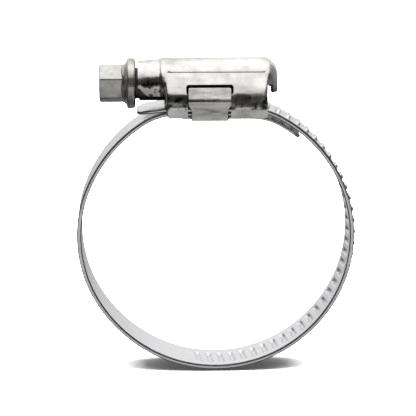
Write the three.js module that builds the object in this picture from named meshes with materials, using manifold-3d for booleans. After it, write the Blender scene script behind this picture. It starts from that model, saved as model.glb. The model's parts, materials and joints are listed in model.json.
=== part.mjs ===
// Worm-drive hose clamp, 12 mm stainless band. Millimetres, +Z up, +X along the screw away from its head.
// The loop stands on the plane z = 0, on its lowest worm teeth, and its centre is over the origin.
import * as THREE from "three";
import { mergeVertices } from "three/addons/utils/BufferGeometryUtils.js";
import Module from "manifold-3d";

const wasm = await Module();
wasm.setup();

// Band
const LOOP_INNER_RADIUS = 26.8;
const BAND_WIDTH = 12;
const BAND_THICKNESS = 0.7;
const LIP_HEIGHT = 0.2;
const LIP_WIDTH = 0.6;
const BEND_RADIUS = 12;
const LINK_GAP = 0.3;
const TAIL_LENGTH = 15.9;
const TAIL_CORNER = 3.5;
const FIXED_END_REACH = 4;

// Worm teeth pressed out of the band
const PITCH = 2.3;
const TOOTH_HEIGHT = 0.7;
const TOOTH_FOOT = 1.2;
const TOOTH_TOP = 0.55;
const TOOTH_REACH = 7;
const TEETH_IN_TAIL = 4;
const TEETH_ON_LOOP = 39;

// Where the band is jointed, counted in teeth from the middle of the housing
const TAIL_JOINT = 4;
const RIGHT_JOINTS = [3, 4, 5, 6, 8, 11, 18, 25, 32, 39];
const LEFT_JOINTS_DEG = [40, 84, 128];

// Screw
const CREST_RADIUS = 4.2;
const THREAD_DEPTH = 0.85;
const THREAD_CREST = 0.5;
const THREAD_ROOT = 1.1;
const THREAD_HALF_LENGTH = 10.4;
const HEX_FLATS = 7;
const HEX_LENGTH = 4.9;
const HEX_TURN_DEG = 20.7;
const HEX_TIP_EASE = 0.1;
const FLANGE_RADIUS = 5.1;
const FLANGE_LENGTH = 2.4;
const FLANGE_CONE = 0.7;

// Housing, whose side walls stand clear of the band's edges and of the worm
const SHEET = 0.8;
const SHOULDER_ROOM = 1.8;
const BODY_HALF_LENGTH = 10.5;
const COLLAR_LENGTH = 4.35;
const STEP_LENGTH = 0.6;
const CAP_LENGTH = 2.2;
const CAP_ROUND = 2.6;
const LIP_DROP = 1.4;
const COLLAR_DROP = 2;
const COLLAR_BEVEL = 1.95;
const COLLAR_BEVEL_DROP = 0.3;
const CREASE_DEG = 39.5;
const SLOPE_DROP = 1.35;
const FOOT_TUCK = 0.5;
const FOOT_TUCK_HEIGHT = 2.3;
const FOOT_CORNER = 0.7;
const WINDOW_TOP = 0.93;

// Saddle
const SADDLE_SHEET = 0.8;
const FLAT_DEPTH = 2.3;
const SADDLE_LEFT = 6.8;
const TONGUE_GAP = 0.6;
const TONGUE_WIDTH = 11;
const TONGUE_REACH_DEG = 40.9;
const TONGUE_CORNER = 2.5;
const EAR_CENTRE = -1.3;
const EAR_HEAD_WIDTH = 8.9;
const EAR_NECK_WIDTH = 7.2;
const EAR_HEAD_TOP = 0.3;
const EAR_HEAD_FOOT = -3.5;
const EAR_SHOULDER = 0.9;

// How far two bodies reach into each other before they are joined into one
const WELD = 0.5;

// Clearances
const LAYER_GAP = 0.05;
const CREST_GAP = 0.15;
const DOME_GAP = 0.2;
const EDGE_GAP = 0.2;
const JOURNAL_GAP = 0.15;
const COLLAR_GAP = 0.45;
const FOOT_GAP = 0.1;
const EAR_GAP = 0.25;
const NECK_GAP = 0.375;

// Heights over the loop's centre
const loopRadius = LOOP_INNER_RADIUS + BAND_THICKNESS / 2;
const loopOuterRadius = LOOP_INNER_RADIUS + BAND_THICKNESS + Math.max(LIP_HEIGHT, TOOTH_HEIGHT);
const seatTop = LOOP_INNER_RADIUS - FLAT_DEPTH;
const fixedMid = seatTop + BAND_THICKNESS / 2;
const threadedMid = seatTop + BAND_THICKNESS + LAYER_GAP + BAND_THICKNESS / 2;
const axisHeight = threadedMid + BAND_THICKNESS / 2 + CREST_GAP + CREST_RADIUS;

// Radii and places that the housing and the screw share
const journalRadius = CREST_RADIUS - THREAD_DEPTH + JOURNAL_GAP;
const collarInner = journalRadius + JOURNAL_GAP;
const domeInner = CREST_RADIUS + DOME_GAP;
const domeOuter = domeInner + SHEET;
const stepLeft = -BODY_HALF_LENGTH - STEP_LENGTH - JOURNAL_GAP;
const collarLeft = stepLeft - COLLAR_LENGTH;

// Widths that the housing and the saddle share
const halfBand = BAND_WIDTH / 2;
const halfThickness = BAND_THICKNESS / 2;
const wallInner = Math.max(halfBand, CREST_RADIUS + SHOULDER_ROOM) + EDGE_GAP;
const wallOuter = wallInner + SHEET;
const outside = 2 * domeOuter;

const DEG = Math.PI / 180;
const ARC_STEP = 4 * DEG;
const ROUND_SEGMENTS = 36;
const SHORTEST_STEP = 0.2;
const WORM_SEGMENTS = 24;
const RINGS_PER_PITCH = 8;

const bandSteel = new THREE.MeshStandardMaterial({ color: 0xc9c9cb, roughness: 0.28, metalness: 1 });
const housingSteel = new THREE.MeshStandardMaterial({ color: 0xbdbcb8, roughness: 0.24, metalness: 1 });
const saddleSteel = new THREE.MeshStandardMaterial({ color: 0xb4b3ae, roughness: 0.3, metalness: 1 });
const screwSteel = new THREE.MeshStandardMaterial({ color: 0xa39e98, roughness: 0.34, metalness: 1 });

function solid(geometry) {
  const bare = geometry.clone();
  bare.deleteAttribute("normal");
  bare.deleteAttribute("uv");
  const merged = mergeVertices(bare, 1e-4);
  const mesh = new wasm.Mesh({
    numProp: 3,
    vertProperties: merged.getAttribute("position").array,
    triVerts: new Uint32Array(merged.index.array),
  });
  return new wasm.Manifold(mesh);
}

function node(name, body, material) {
  const { vertProperties, triVerts } = body.getMesh();
  const geometry = new THREE.BufferGeometry();
  geometry.setAttribute("position", new THREE.BufferAttribute(vertProperties, 3));
  geometry.setIndex(new THREE.BufferAttribute(triVerts, 1));
  geometry.computeVertexNormals();
  const mesh = new THREE.Mesh(geometry, material);
  mesh.name = name;
  return mesh;
}

// A plate whose outline lies in the XZ plane, between two depths along Y.
function plate(outline, nearY, farY) {
  const shape = new THREE.Shape(outline);
  const geometry = new THREE.ExtrudeGeometry(shape, { depth: farY - nearY, bevelEnabled: false });
  geometry.rotateX(Math.PI / 2);
  geometry.translate(0, farY, 0);
  return solid(geometry);
}

// A bar whose section lies in the YZ plane, between two places along X.
function bar(section, fromX, toX) {
  const shape = new THREE.Shape(section);
  const geometry = new THREE.ExtrudeGeometry(shape, { depth: toX - fromX, bevelEnabled: false });
  const turn = new THREE.Matrix4().set(0, 0, 1, fromX, 1, 0, 0, 0, 0, 1, 0, 0, 0, 0, 0, 1);
  geometry.applyMatrix4(turn);
  return solid(geometry);
}

// A body turned round the X axis, from points of (radius, x).
function turned(profile) {
  const points = profile.map(([radius, x]) => new THREE.Vector2(radius, x));
  const geometry = new THREE.LatheGeometry(points, ROUND_SEGMENTS);
  geometry.rotateZ(-Math.PI / 2);
  return solid(geometry);
}

function rectangle(lowX, lowZ, highX, highZ) {
  return [
    new THREE.Vector2(lowX, lowZ),
    new THREE.Vector2(highX, lowZ),
    new THREE.Vector2(highX, highZ),
    new THREE.Vector2(lowX, highZ),
  ];
}

function arc(centreX, centreZ, radius, fromAngle, toAngle) {
  const steps = Math.max(2, Math.ceil(Math.abs(toAngle - fromAngle) / (10 * DEG)));
  return Array.from({ length: steps + 1 }, (_, i) => {
    const angle = fromAngle + ((toAngle - fromAngle) * i) / steps;
    return new THREE.Vector2(centreX + radius * Math.cos(angle), centreZ + radius * Math.sin(angle));
  });
}

// The middle line of a strip that lies flat under the screw and bends down onto a circle round the loop.
// Distances run along it from the middle of the housing, towards +X on side 1 and towards -X on side -1.
class BentLine {
  constructor(flatHeight, radius, side) {
    const rise = flatHeight - BEND_RADIUS;
    this.flatHeight = flatHeight;
    this.radius = radius;
    this.side = side;
    this.flatLength = Math.sqrt((radius - BEND_RADIUS) ** 2 - rise ** 2);
    this.bendAngle = Math.atan2(this.flatLength, rise);
  }

  // The distance at which the line has turned by an angle, which is past the bend.
  distanceAt(angle) {
    return this.flatLength + BEND_RADIUS * this.bendAngle + this.radius * (angle - this.bendAngle);
  }

  angleAt(distance) {
    const past = distance - this.flatLength;
    if (past <= 0) return 0;
    if (past <= BEND_RADIUS * this.bendAngle) return past / BEND_RADIUS;
    return this.bendAngle + (past - BEND_RADIUS * this.bendAngle) / this.radius;
  }

  // The point at a distance, moved outwards from the loop by an offset.
  pointAt(distance, offset) {
    const angle = this.angleAt(distance);
    let x = Math.min(distance, this.flatLength);
    let z = this.flatHeight + offset;
    if (angle > 0 && angle <= this.bendAngle) {
      x = this.flatLength + (BEND_RADIUS + offset) * Math.sin(angle);
      z = this.flatHeight - BEND_RADIUS + (BEND_RADIUS + offset) * Math.cos(angle);
    } else if (angle > this.bendAngle) {
      x = (this.radius + offset) * Math.sin(angle);
      z = (this.radius + offset) * Math.cos(angle);
    }
    return new THREE.Vector2(this.side * x, z);
  }

  // Distances between two ends, close enough together to look round.
  steps(from, to) {
    const corners = [this.flatLength, this.flatLength + BEND_RADIUS * this.bendAngle];
    const inside = corners.filter((d) => d > from + SHORTEST_STEP && d < to - SHORTEST_STEP);
    const stops = [from, ...inside, to];
    return stops.slice(1).reduce(
      (list, stop, i) => {
        const turn = this.angleAt(stop) - this.angleAt(stops[i]);
        const count = Math.max(1, Math.ceil(turn / ARC_STEP));
        for (let k = 1; k <= count; k++) list.push(stops[i] + ((stop - stops[i]) * k) / count);
        return list;
      },
      [from],
    );
  }

  outline(from, to, low, high) {
    const distances = this.steps(from, to);
    const top = distances.map((d) => this.pointAt(d, high));
    const bottom = distances.map((d) => this.pointAt(d, low)).reverse();
    return [...top, ...bottom];
  }
}

const fixedLine = new BentLine(fixedMid, loopRadius, -1);
const threadedLine = new BentLine(threadedMid, loopRadius, 1);
const tongueLine = new BentLine(
  seatTop - SADDLE_SHEET / 2,
  LOOP_INNER_RADIUS - TONGUE_GAP - SADDLE_SHEET / 2,
  1,
);

function plainStrip(line, from, to) {
  return plate(line.outline(from, to, -halfThickness, halfThickness), -halfBand, halfBand);
}

// The two edges of a strip, rolled up into lips.
function withLips(strip, line, from, to) {
  const lip = line.outline(from, to, -halfThickness, halfThickness + LIP_HEIGHT);
  return strip
    .add(plate(lip, -halfBand, -halfBand + LIP_WIDTH))
    .add(plate(lip, halfBand - LIP_WIDTH, halfBand));
}

function lippedStrip(line, from, to) {
  return withLips(plainStrip(line, from, to), line, from, to);
}

// One worm tooth: a ridge across the band, turned by the thread's lead angle.
function tooth(line, distance) {
  const buried = halfThickness / 2;
  const section = [
    new THREE.Vector2(-TOOTH_FOOT / 2, -buried),
    new THREE.Vector2(TOOTH_FOOT / 2, -buried),
    new THREE.Vector2(TOOTH_FOOT / 2, 0),
    new THREE.Vector2(TOOTH_TOP / 2, TOOTH_HEIGHT),
    new THREE.Vector2(-TOOTH_TOP / 2, TOOTH_HEIGHT),
    new THREE.Vector2(-TOOTH_FOOT / 2, 0),
  ];
  const shape = new THREE.Shape(section);
  const geometry = new THREE.ExtrudeGeometry(shape, { depth: TOOTH_REACH, bevelEnabled: false });
  const place = line.pointAt(distance, halfThickness);
  geometry.rotateX(Math.PI / 2);
  geometry.translate(0, TOOTH_REACH / 2, 0);
  geometry.rotateZ(-Math.atan(PITCH / (2 * Math.PI * CREST_RADIUS)));
  geometry.rotateY(line.side * line.angleAt(distance));
  geometry.translate(place.x, 0, place.y);
  return solid(geometry);
}

function withTeeth(body, line, from, to) {
  const first = Math.ceil(from / PITCH - 0.5);
  const last = Math.floor(to / PITCH - 0.5);
  let made = body;
  for (let i = first; i <= last; i++) made = made.add(tooth(line, (i + 0.5) * PITCH));
  return made;
}

// The housing's section: a dome over the screw, sloping shoulders, and walls that tuck in at the foot.
function archSection(foot) {
  const crease = CREASE_DEG * DEG;
  const slopeTop = new THREE.Vector2(domeOuter * Math.cos(crease), domeOuter * Math.sin(crease));
  const slopeFoot = new THREE.Vector2(wallOuter, -SLOPE_DROP);
  const along = slopeFoot.clone().sub(slopeTop).normalize();
  const inward = new THREE.Vector2(along.y, -along.x).multiplyScalar(SHEET);
  const innerTop = slopeTop.clone().add(inward);
  const innerFoot = slopeFoot.clone().add(inward);
  const innerSlope = (innerTop.y - innerFoot.y) / (innerTop.x - innerFoot.x);
  const innerCorner = new THREE.Vector2(wallInner, innerFoot.y + (wallInner - innerFoot.x) * innerSlope);
  const innerCrease = Math.atan2(innerTop.y, innerTop.x);
  const outerSide = [
    new THREE.Vector2(wallOuter - FOOT_TUCK, foot),
    new THREE.Vector2(wallOuter - FOOT_TUCK / 3, foot + FOOT_TUCK_HEIGHT / 2),
    new THREE.Vector2(wallOuter, foot + FOOT_TUCK_HEIGHT),
    slopeFoot,
  ];
  const innerSide = [new THREE.Vector2(wallInner, foot), innerCorner];
  const mirror = (points) => points.map((p) => new THREE.Vector2(-p.x, p.y));
  const domeAbove = arc(0, 0, domeOuter, crease, Math.PI - crease);
  const domeBelow = arc(0, 0, domeInner, Math.PI - innerCrease, innerCrease);
  const outerArch = [...outerSide, ...domeAbove, ...mirror(outerSide).reverse()];
  return [...outerArch, ...mirror(innerSide), ...domeBelow, ...innerSide.reverse()];
}

// The round collar on the head's side, stepped down from the dome and open underneath.
function collar() {
  const right = -BODY_HALF_LENGTH + WELD;
  const tube = turned([
    [collarInner, collarLeft],
    [collarInner + SHEET, collarLeft],
    [collarInner + SHEET, stepLeft],
    [domeOuter, stepLeft + STEP_LENGTH],
    [domeOuter, right],
    [domeInner, right],
    [domeInner, stepLeft + STEP_LENGTH],
    [collarInner, stepLeft],
    [collarInner, collarLeft],
  ]);
  const underside = [
    new THREE.Vector2(collarLeft - WELD, -outside),
    new THREE.Vector2(right + WELD, -outside),
    new THREE.Vector2(right + WELD, -COLLAR_DROP),
    new THREE.Vector2(collarLeft + COLLAR_BEVEL, -COLLAR_DROP),
    new THREE.Vector2(collarLeft, -COLLAR_BEVEL_DROP),
    new THREE.Vector2(collarLeft - WELD, -COLLAR_BEVEL_DROP),
  ];
  return tube.subtract(plate(underside, -outside, outside));
}

// The rounded cap that closes the dome past the screw's end, down to a hanging lip.
function endCap() {
  const left = BODY_HALF_LENGTH - WELD;
  const right = BODY_HALF_LENGTH + CAP_LENGTH;
  const corner = (radius) => {
    return arc(domeOuter - CAP_ROUND, right - CAP_ROUND, radius, 0, Math.PI / 2).map((p) => [p.x, p.y]);
  };
  const shell = turned([
    [domeInner, left],
    [domeOuter, left],
    ...corner(CAP_ROUND),
    [0, right],
    [0, right - SHEET],
    ...corner(CAP_ROUND - SHEET).reverse(),
    [domeInner, left],
  ]);
  const underside = rectangle(left - WELD, -outside, right + WELD, -LIP_DROP);
  return shell.subtract(plate(underside, -outside, outside));
}

// The outline of an ear's window, or of the ear itself, by the gap left round it.
function earOutline(foot, top, gap, neckGap) {
  const head = EAR_HEAD_WIDTH / 2 + gap;
  const neck = EAR_NECK_WIDTH / 2 + neckGap;
  const headFoot = EAR_HEAD_FOOT - gap;
  return [
    new THREE.Vector2(EAR_CENTRE - neck, foot),
    new THREE.Vector2(EAR_CENTRE + neck, foot),
    new THREE.Vector2(EAR_CENTRE + neck, headFoot - EAR_SHOULDER),
    new THREE.Vector2(EAR_CENTRE + head, headFoot),
    new THREE.Vector2(EAR_CENTRE + head, top),
    new THREE.Vector2(EAR_CENTRE - head, top),
    new THREE.Vector2(EAR_CENTRE - head, headFoot),
    new THREE.Vector2(EAR_CENTRE - neck, headFoot - EAR_SHOULDER),
  ];
}

// A plate that lies in one side wall, in front at side -1 and behind at side 1.
function wallPlate(outline, side, inner, outer) {
  return plate(outline, Math.min(side * inner, side * outer), Math.max(side * inner, side * outer));
}

function screwHousing() {
  const foot = seatTop - axisHeight + FOOT_GAP;
  const body = bar(archSection(foot), -BODY_HALF_LENGTH, BODY_HALF_LENGTH);
  const window = earOutline(foot - WELD, WINDOW_TOP, EAR_GAP, NECK_GAP);
  const windows = [-1, 1].map((side) => wallPlate(window, side, CREST_RADIUS, wallOuter + WELD));
  const corner = [
    new THREE.Vector2(-BODY_HALF_LENGTH - WELD, foot - WELD),
    new THREE.Vector2(-BODY_HALF_LENGTH + FOOT_CORNER, foot - WELD),
    new THREE.Vector2(-BODY_HALF_LENGTH + FOOT_CORNER, foot),
    new THREE.Vector2(-BODY_HALF_LENGTH, -LIP_DROP),
    new THREE.Vector2(-BODY_HALF_LENGTH - WELD, -LIP_DROP),
  ];
  return body
    .subtract(plate(corner, -outside, outside))
    .subtract(windows[0])
    .subtract(windows[1])
    .add(collar())
    .add(endCap());
}

// The saddle: a flat seat, a curved tongue under the band on the right, and a T-shaped ear in each window.
function saddle() {
  const plateHalf = wallOuter - FOOT_TUCK;
  const base = seatTop - SADDLE_SHEET;
  const half = SADDLE_SHEET / 2;
  const seat = plate(rectangle(-SADDLE_LEFT, base, tongueLine.flatLength, seatTop), -plateHalf, plateHalf);
  const root = tongueLine.flatLength - WELD;
  const tip = tongueLine.distanceAt(TONGUE_REACH_DEG * DEG);
  const tongue = plate(tongueLine.outline(root, tip, -half, half), -TONGUE_WIDTH / 2, TONGUE_WIDTH / 2);
  const tipX = tongueLine.pointAt(tip, half).x;
  const trim = roundedEnd(tipX, -tipX, TONGUE_WIDTH / 2, TONGUE_CORNER, 0, seatTop + 1);
  const outline = earOutline(base - axisHeight, EAR_HEAD_TOP, 0, 0);
  outline.forEach((p) => {
    p.y += axisHeight;
  });
  const ears = [-1, 1].map((side) => wallPlate(outline, side, wallInner, wallOuter));
  return seat.add(tongue.intersect(trim)).add(ears[0]).add(ears[1]);
}

// A standing block with two rounded corners at one end of its plan, for trimming the end of a strip.
function roundedEnd(endX, startX, halfWidth, corner, lowZ, highZ) {
  const way = Math.sign(endX - startX);
  const cornerX = endX - way * corner;
  const upper = arc(0, 0, corner, 0, Math.PI / 2).map(
    (p) => new THREE.Vector2(cornerX + way * p.x, halfWidth - corner + p.y),
  );
  const lower = upper.map((p) => new THREE.Vector2(p.x, -p.y)).reverse();
  const start = [new THREE.Vector2(startX, halfWidth), new THREE.Vector2(startX, -halfWidth)];
  const shape = new THREE.Shape([...lower, ...upper, ...start]);
  const geometry = new THREE.ExtrudeGeometry(shape, { depth: highZ - lowZ, bevelEnabled: false });
  geometry.translate(0, 0, lowZ);
  return solid(geometry);
}

// The worm: a cylinder whose surface is lifted along a right-hand helix, and sinks to the root at both ends.
function worm() {
  const rootRadius = CREST_RADIUS - THREAD_DEPTH;
  const length = 2 * THREAD_HALF_LENGTH;
  const rings = Math.round((length * RINGS_PER_PITCH) / PITCH);
  const geometry = new THREE.CylinderGeometry(rootRadius, rootRadius, length, WORM_SEGMENTS, rings);
  geometry.rotateZ(-Math.PI / 2);
  const position = geometry.getAttribute("position");
  for (let i = 0; i < position.count; i++) {
    const x = position.getX(i);
    const y = position.getY(i);
    const z = position.getZ(i);
    const radius = Math.hypot(y, z);
    if (radius > rootRadius / 2) {
      const lift = threadLift(x, Math.atan2(z, y));
      const scale = (rootRadius + lift) / radius;
      position.setXYZ(i, x, y * scale, z * scale);
    }
  }
  return solid(geometry);
}

// The thread's height over its root: a crest passes the lowest point of the screw at each whole pitch.
function threadLift(x, angle) {
  const turns = (x - (PITCH * (angle + Math.PI / 2)) / (2 * Math.PI)) / PITCH;
  const offset = Math.abs(turns - Math.round(turns)) * PITCH;
  const flank = (THREAD_ROOT - THREAD_CREST) / 2;
  const profile = THREE.MathUtils.clamp((THREAD_ROOT / 2 - offset) / flank, 0, 1);
  const fade = THREE.MathUtils.clamp((THREAD_HALF_LENGTH - Math.abs(x)) / (PITCH / 2), 0, 1);
  return THREAD_DEPTH * profile * fade;
}

// The screw: hexagon head, flange, plain journal in the collar, and the worm.
function screw() {
  const flangeRight = collarLeft - COLLAR_GAP;
  const flangeLeft = flangeRight - FLANGE_LENGTH;
  const hexLeft = flangeLeft - HEX_LENGTH;
  const hexCorner = HEX_FLATS / Math.sqrt(3);
  const chamfer = hexCorner - HEX_FLATS / 2;
  const shankLeft = flangeLeft - WELD;
  const shankRight = -THREAD_HALF_LENGTH + WELD;
  const shank = turned([
    [0, shankLeft],
    [HEX_FLATS / 2, shankLeft],
    [hexCorner, flangeLeft],
    [FLANGE_RADIUS, flangeLeft + FLANGE_CONE],
    [FLANGE_RADIUS, flangeRight],
    [journalRadius, flangeRight],
    [journalRadius, shankRight],
    [0, shankRight],
  ]);
  const corners = Array.from({ length: 6 }, (_, i) => {
    const angle = (180 - HEX_TURN_DEG + 60 * i) * DEG;
    return new THREE.Vector2(hexCorner * Math.cos(angle), hexCorner * Math.sin(angle));
  });
  const bluntTip = turned([
    [0, hexLeft],
    [HEX_FLATS / 2 - HEX_TIP_EASE, hexLeft],
    [hexCorner + HEX_TIP_EASE, hexLeft + chamfer],
    [hexCorner + HEX_TIP_EASE, flangeLeft],
    [0, flangeLeft],
  ]);
  return worm().add(shank).add(bar(corners, hexLeft, flangeLeft).intersect(bluntTip));
}

const clamp = new THREE.Group();
clamp.position.z = loopOuterRadius;

const screwLine = new THREE.Group();
screwLine.position.z = axisHeight;
screwLine.add(node("screw_housing", screwHousing(), housingSteel));
screwLine.add(node("worm_screw", screw(), screwSteel));
clamp.add(screwLine);
clamp.add(node("saddle", saddle(), saddleSteel));

// The fixed end lies flat on the saddle, without lips, and comes round onto the left of the loop.
const halfGap = LINK_GAP / 2;
const leftJoints = LEFT_JOINTS_DEG.map((angle) => fixedLine.distanceAt(angle * DEG));
const loopStart = fixedLine.distanceAt(fixedLine.bendAngle);
const openJoint = RIGHT_JOINTS.at(-1) * PITCH;
const leftEnd = fixedLine.distanceAt(2 * Math.PI - threadedLine.angleAt(openJoint));
const fixedEnd = plainStrip(fixedLine, -FIXED_END_REACH, leftJoints[0] - halfGap);
const fixedEndLips = withLips(fixedEnd, fixedLine, loopStart, leftJoints[0] - halfGap);
clamp.add(node("band_fixed_end", fixedEndLips, bandSteel));

// Links of the loop's left side, from the housing down to the open joint under the loop.
leftJoints.forEach((from, i) => {
  const to = i + 1 < leftJoints.length ? leftJoints[i + 1] : leftEnd;
  const body = lippedStrip(fixedLine, from + halfGap, to - halfGap);
  clamp.add(node(`band_left_${i + 1}`, body, bandSteel));
});

// The threaded run slides between the screw and the fixed end.
const tailJoint = -TAIL_JOINT * PITCH;
const rightJoints = RIGHT_JOINTS.map((count) => count * PITCH);
const runStrip = lippedStrip(threadedLine, tailJoint + halfGap, rightJoints[0] - halfGap);
const threadedRun = withTeeth(runStrip, threadedLine, -TEETH_IN_TAIL * PITCH, rightJoints[0]);
clamp.add(node("band_threaded_run", threadedRun, bandSteel));

// Links of the loop's right side, toothed all the way round to the open joint.
rightJoints.slice(1).forEach((to, i) => {
  const body = lippedStrip(threadedLine, rightJoints[i] + halfGap, to - halfGap);
  const toothed = withTeeth(body, threadedLine, rightJoints[i], Math.min(to, TEETH_ON_LOOP * PITCH));
  clamp.add(node(`band_right_${i + 1}`, toothed, bandSteel));
});

// The tail keeps the loop's curve where it leaves the housing, and ends in rounded corners.
function tailTip() {
  const centre = new THREE.Vector2(tailJoint, threadedMid - loopRadius);
  const joint = halfGap / loopRadius;
  const end = Math.asin((TAIL_LENGTH + tailJoint) / loopRadius);
  const outer = arc(centre.x, centre.y, loopRadius + halfThickness, Math.PI / 2 + joint, Math.PI / 2 + end);
  const inner = arc(centre.x, centre.y, loopRadius - halfThickness, Math.PI / 2 + end, Math.PI / 2 + joint);
  const strip = plate([...outer, ...inner], -halfBand, halfBand);
  const trim = roundedEnd(-TAIL_LENGTH, 0, halfBand, TAIL_CORNER, centre.y, axisHeight);
  return strip.intersect(trim);
}
clamp.add(node("band_tail_tip", tailTip(), bandSteel));

export default clamp;
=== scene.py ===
import json
import math

import bpy
from mathutils import Matrix


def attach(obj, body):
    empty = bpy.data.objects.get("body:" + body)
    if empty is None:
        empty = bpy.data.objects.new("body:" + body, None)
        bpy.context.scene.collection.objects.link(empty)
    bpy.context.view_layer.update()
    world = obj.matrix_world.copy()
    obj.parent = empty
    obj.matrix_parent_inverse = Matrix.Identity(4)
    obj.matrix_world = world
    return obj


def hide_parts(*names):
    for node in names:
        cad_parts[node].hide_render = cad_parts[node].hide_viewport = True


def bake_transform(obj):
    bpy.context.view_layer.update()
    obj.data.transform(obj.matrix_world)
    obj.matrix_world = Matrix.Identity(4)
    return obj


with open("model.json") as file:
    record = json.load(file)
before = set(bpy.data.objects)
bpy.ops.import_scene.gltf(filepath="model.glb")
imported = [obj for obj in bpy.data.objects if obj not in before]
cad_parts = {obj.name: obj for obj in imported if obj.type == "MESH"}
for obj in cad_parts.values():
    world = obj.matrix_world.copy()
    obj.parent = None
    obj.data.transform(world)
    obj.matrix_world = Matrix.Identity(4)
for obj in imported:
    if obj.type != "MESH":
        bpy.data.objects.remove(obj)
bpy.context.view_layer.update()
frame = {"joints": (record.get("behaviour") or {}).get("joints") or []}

# ---------------------------------------------------------------- band
# One strip of spring steel, 12 mm wide, rolled round the hose. Its long edges are turned up into low lips,
# and the worm's teeth are pressed out of its right half. Each visible length runs from the middle of one
# rigid link of the frame to the middle of the next.

screw_height = 1000 * next(j for j in frame["joints"] if j["name"] == "screw_turn")["pos_m"][2]
SCREW_OVER_LOOP = 30.3
loop_height = screw_height - SCREW_OVER_LOOP

BAND_HALF_WIDTH = 6.0
BAND_HALF_THICKNESS = 0.35
LIP_RISE = 0.2
LIP_START = 5.0
LIP_END = 5.6
LOOP_RADIUS = 27.15
LEFT_BULGE = 0.013
RIGHT_BULGE = 0.006
BEND_RADIUS = 12.0
FIXED_LAYER = 24.85
THREADED_LAYER = 25.6
PITCH = 2.3
TOOTH_RISE = 0.68
TOOTH_DENT = 0.5
TOOTH_TOP_HALF = 0.26
TOOTH_FOOT_HALF = 0.66
TOOTH_HALF_REACH = 3.5
TOOTH_END_SLOPE = 0.7
TOOTH_SLANT = math.tan(math.radians(5.0))
STATIONS_PER_TOOTH = 14
PLAIN_STATION = 0.5


def smooth_step(low, high, value):
    share = min(1.0, max(0.0, (value - low) / (high - low)))
    return share * share * (3 - 2 * share)


def clear_selection():
    if bpy.context.object and bpy.context.object.mode != "OBJECT":
        bpy.ops.object.mode_set(mode="OBJECT")
    bpy.ops.object.select_all(action="DESELECT")


def edit_all(piece):
    """Opens a piece in edit mode with all of it selected."""
    clear_selection()
    piece.select_set(True)
    bpy.context.view_layer.objects.active = piece
    bpy.ops.object.mode_set(mode="EDIT")
    bpy.ops.mesh.select_all(action="SELECT")


def apply_modifiers(piece):
    clear_selection()
    piece.select_set(True)
    bpy.context.view_layer.objects.active = piece
    for modifier in list(piece.modifiers):
        bpy.ops.object.modifier_apply(modifier=modifier.name)


def lay_grid(name, columns, rows, place, stretch=None, trim=()):
    """A grid of columns by rows whose every crossing is put at place(column, row), in millimetres.

    The trim rows take the piece's second material."""
    clear_selection()
    bpy.ops.mesh.primitive_grid_add(x_subdivisions=columns, y_subdivisions=rows, size=2)
    piece = bpy.context.object
    piece.name = piece.data.name = name
    crossing = {}
    for vertex in piece.data.vertices:
        column = round((vertex.co.x + 1) / 2 * columns)
        row = round((vertex.co.y + 1) / 2 * rows)
        crossing[vertex.index] = (column, row)
        vertex.co = place(column, row)
    if stretch:
        uv = piece.data.uv_layers.active.data
        for loop in piece.data.loops:
            uv[loop.index].uv = stretch(*crossing[loop.vertex_index])
    for polygon in piece.data.polygons:
        polygon.material_index = int(min(crossing[v][1] for v in polygon.vertices) in trim)
    return piece


def close_skin(piece):
    """Welds the grid's seam, fills its open ends and turns its faces outwards."""
    edit_all(piece)
    bpy.ops.mesh.remove_doubles(threshold=0.0005)
    bpy.ops.mesh.select_all(action="SELECT")
    bpy.ops.mesh.fill_holes(sides=0)
    bpy.ops.mesh.select_all(action="SELECT")
    bpy.ops.mesh.normals_make_consistent(inside=False)
    bpy.ops.object.mode_set(mode="OBJECT")


def set_down(piece, height, smooth_angle=40):
    """Lifts a piece modelled round its own centre to its height, and turns millimetres into metres."""
    piece.data.transform(Matrix.Scale(0.001, 4) @ Matrix.Translation((0, 0, height)))
    clear_selection()
    piece.select_set(True)
    bpy.context.view_layer.objects.active = piece
    bpy.ops.object.shade_smooth_by_angle(angle=math.radians(smooth_angle))


def band_point(distance, lift, side):
    """A point of the band's side view: flat under the screw, then a bend, then the loop's circle."""
    layer = THREADED_LAYER if side > 0 else FIXED_LAYER
    flat = math.sqrt((LOOP_RADIUS - BEND_RADIUS) ** 2 - (layer - BEND_RADIUS) ** 2)
    turn = math.atan2(flat, layer - BEND_RADIUS)
    past = distance - flat
    if past <= 0:
        return side * distance, layer + lift
    if past <= BEND_RADIUS * turn:
        angle = past / BEND_RADIUS
        reach = BEND_RADIUS + lift
        return side * (flat + reach * math.sin(angle)), layer - BEND_RADIUS + reach * math.cos(angle)
    angle = turn + (past - BEND_RADIUS * turn) / LOOP_RADIUS
    height = (LOOP_RADIUS + lift) * math.cos(angle)
    wider = 1 + (RIGHT_BULGE if side > 0 else LEFT_BULGE) * smooth_step(20, 4, height)
    wider -= (wider - 1) * smooth_step(-8, -24, height)
    return side * (LOOP_RADIUS + lift) * math.sin(angle) * wider, height


def band_distance(degrees, side):
    """How far along the band the loop has turned by an angle from its top."""
    layer = THREADED_LAYER if side > 0 else FIXED_LAYER
    flat = math.sqrt((LOOP_RADIUS - BEND_RADIUS) ** 2 - (layer - BEND_RADIUS) ** 2)
    turn = math.atan2(flat, layer - BEND_RADIUS)
    return flat + BEND_RADIUS * turn + LOOP_RADIUS * (math.radians(degrees) - turn)


def band_section():
    """The band's section as (across, through) points, once round its rounded edges."""
    across = [i * 0.4 for i in range(-14, 15)]
    corner = [(5.8, 1.0), (5.93, 0.83), (6.0, 0.45), (6.0, -0.45), (5.93, -0.83), (5.8, -1.0)]
    top = [(y, 1.0) for y in across]
    under = [(-y, -1.0) for y in across]
    points = top + corner + under + [(-y, -t) for y, t in corner]
    return [(y, t * BAND_HALF_THICKNESS) for y, t in points + points[:1]]


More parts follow.
